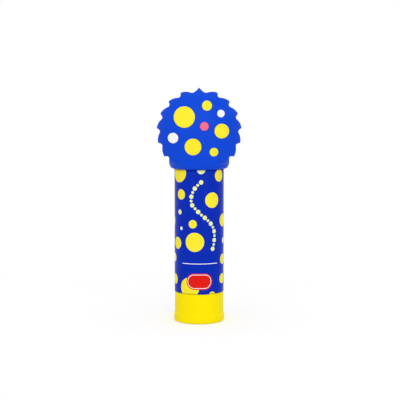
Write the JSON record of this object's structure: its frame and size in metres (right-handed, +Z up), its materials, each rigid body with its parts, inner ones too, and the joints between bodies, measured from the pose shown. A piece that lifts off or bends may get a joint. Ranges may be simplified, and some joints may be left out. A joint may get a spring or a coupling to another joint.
{
  "type": "glue stick",
  "caption": "Glue stick with a twist knob, a screw-driven glue carrier, a dotted label sleeve and a pull-off cap under a soft tufted topper with raised round inlays.",
  "frame": {"origin": "on the stick's axis, at the flat foot of the knob, which it stands on", "axes": "+Z up along the stick towards the cap, -Y towards the front of the label, +X to the right seen from the front"},
  "size_m": [0.0348, 0.0272, 0.0961],
  "materials": {
    "barrel_plastic": "white moulded polypropylene, satin",
    "label_film": "glossy printed film, cobalt blue with yellow dots",
    "knob_plastic": "bright yellow moulded plastic, smooth, slightly satin",
    "inner_plastic": "natural white moulded plastic",
    "glue": "solid white glue, waxy",
    "cap_plastic": "blue moulded plastic, smooth",
    "topper_soft": "soft moulded cobalt blue, satin",
    "yellow_soft": "soft moulded yellow, satin",
    "white_soft": "soft moulded white, satin",
    "pink_soft": "soft moulded pink, satin"
  },
  "bodies": {
    "barrel": {"barrel_tube": "barrel_plastic", "label_sleeve": "label_film"},
    "knob": {"base_knob": "knob_plastic", "screw_spindle": "inner_plastic"},
    "carrier": {"glue_carrier": "inner_plastic", "glue_stick": "glue"},
    "cap": {"cap_shell": "cap_plastic", "topper_body": "topper_soft", "yellow_inlay_01": "yellow_soft", "yellow_inlay_02": "yellow_soft", "white_inlay_03": "white_soft", "yellow_inlay_04": "yellow_soft", "pink_inlay_05": "pink_soft", "white_inlay_06": "white_soft", "yellow_inlay_07": "yellow_soft", "yellow_inlay_08": "yellow_soft", "yellow_inlay_09": "yellow_soft", "yellow_inlay_10": "yellow_soft", "yellow_inlay_11": "yellow_soft", "pink_inlay_12": "pink_soft", "white_inlay_13": "white_soft"}
  },
  "joints": [
    {"name": "knob_turn", "type": "hinge", "parent": "barrel", "child": "knob", "pos_m": [0, 0, 0], "axis": [0, 0, -1], "range_deg": [0, 3240]},
    {"name": "carrier_slide", "type": "slide", "parent": "barrel", "child": "carrier", "axis": [0, 0, 1], "range_m": [0, 0.045]},
    {"name": "cap_pull", "type": "slide", "parent": "carrier", "child": "cap", "axis": [0, 0, 1], "range_m": [0, 0.03]}
  ],
  "couplings": [
    {"joint": "knob_turn", "follows": "carrier_slide", "rad_per_m": 1256.6}
  ]
}
